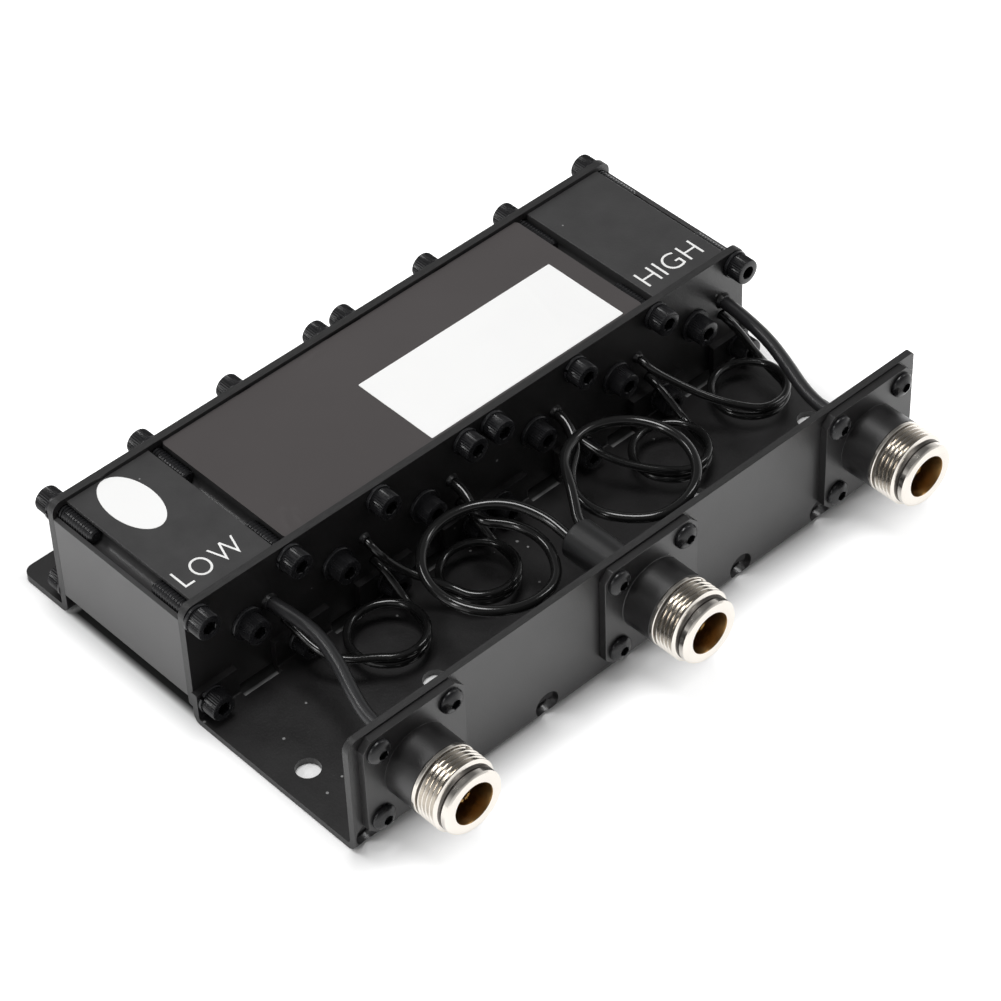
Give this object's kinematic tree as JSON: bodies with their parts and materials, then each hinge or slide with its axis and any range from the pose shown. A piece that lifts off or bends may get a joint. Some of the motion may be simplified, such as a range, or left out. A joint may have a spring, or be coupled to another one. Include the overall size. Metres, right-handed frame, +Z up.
{
  "type": "cavity duplexer",
  "caption": "Compact mobile-radio cavity duplexer: two cavity extrusions between cover plates on a bent chassis with three panel connectors and coiled link cables.",
  "frame": {"origin": "on the base plane, under the middle of the width and of the overall depth", "axes": "+X along the connector panel towards the high end, +Y from the panel to the rear foot, +Z up"},
  "size_m": [0.1548, 0.1222, 0.0304],
  "materials": {
    "black_powder_coat": "satin powder coat",
    "black_flange": "satin",
    "nickel_plate": "bright plate",
    "insulator": "smooth",
    "gold_contact": "plated",
    "black_oxide_steel": "black oxide",
    "silvered_copper": "silver plate",
    "black_sleeve": "satin",
    "black_jacket": "glossy",
    "printed_label": "satin film",
    "white_paper": "matt paper"
  },
  "bodies": {
    "housing": {"chassis": "black_powder_coat", "front_cover": "black_powder_coat", "rear_cover": "black_powder_coat", "low_cavity_block": "black_powder_coat", "high_cavity_block": "black_powder_coat", "low_port_flange": "black_flange", "low_port_barrel": "nickel_plate", "low_port_insulator": "insulator", "low_port_contact": "gold_contact", "antenna_port_flange": "black_flange", "antenna_port_barrel": "nickel_plate", "antenna_port_insulator": "insulator", "antenna_port_contact": "gold_contact", "high_port_flange": "black_flange", "high_port_barrel": "nickel_plate", "high_port_insulator": "insulator", "high_port_contact": "gold_contact", "flange_screws": "black_oxide_steel", "front_cover_screws": "black_oxide_steel", "tab_screws": "black_oxide_steel", "rear_upper_screws": "black_oxide_steel", "rear_lower_screws": "black_oxide_steel", "resonator_1": "silvered_copper", "resonator_2": "silvered_copper", "resonator_3": "silvered_copper", "resonator_4": "silvered_copper", "resonator_5": "silvered_copper", "resonator_6": "silvered_copper", "tuning_rings": "black_oxide_steel", "antenna_sleeve": "black_sleeve", "low_cable": "black_jacket", "high_cable": "black_jacket", "link_cable_a": "black_jacket", "link_cable_b": "black_jacket", "link_cable_e": "black_jacket", "link_cable_f": "black_jacket", "link_cable_c": "black_jacket", "link_cable_d": "black_jacket", "top_label": "printed_label", "paper_sticker": "white_paper", "oval_sticker": "white_paper"},
    "tuning_screw_1": {"tuning_screw_1": "black_oxide_steel"},
    "tuning_screw_2": {"tuning_screw_2": "black_oxide_steel"},
    "tuning_screw_3": {"tuning_screw_3": "black_oxide_steel"},
    "tuning_screw_4": {"tuning_screw_4": "black_oxide_steel"},
    "tuning_screw_5": {"tuning_screw_5": "black_oxide_steel"},
    "tuning_screw_6": {"tuning_screw_6": "black_oxide_steel"}
  },
  "joints": [
    {"name": "tuning_travel_1", "type": "slide", "parent": "housing", "child": "tuning_screw_1", "axis": [0, -1, 0], "range_m": [0, 0.0016]},
    {"name": "tuning_travel_2", "type": "slide", "parent": "housing", "child": "tuning_screw_2", "axis": [0, -1, 0], "range_m": [0, 0.0016]},
    {"name": "tuning_travel_3", "type": "slide", "parent": "housing", "child": "tuning_screw_3", "axis": [0, -1, 0], "range_m": [0, 0.0016]},
    {"name": "tuning_travel_4", "type": "slide", "parent": "housing", "child": "tuning_screw_4", "axis": [0, -1, 0], "range_m": [0, 0.0016]},
    {"name": "tuning_travel_5", "type": "slide", "parent": "housing", "child": "tuning_screw_5", "axis": [0, -1, 0], "range_m": [0, 0.0016]},
    {"name": "tuning_travel_6", "type": "slide", "parent": "housing", "child": "tuning_screw_6", "axis": [0, -1, 0], "range_m": [0, 0.0016]}
  ]
}
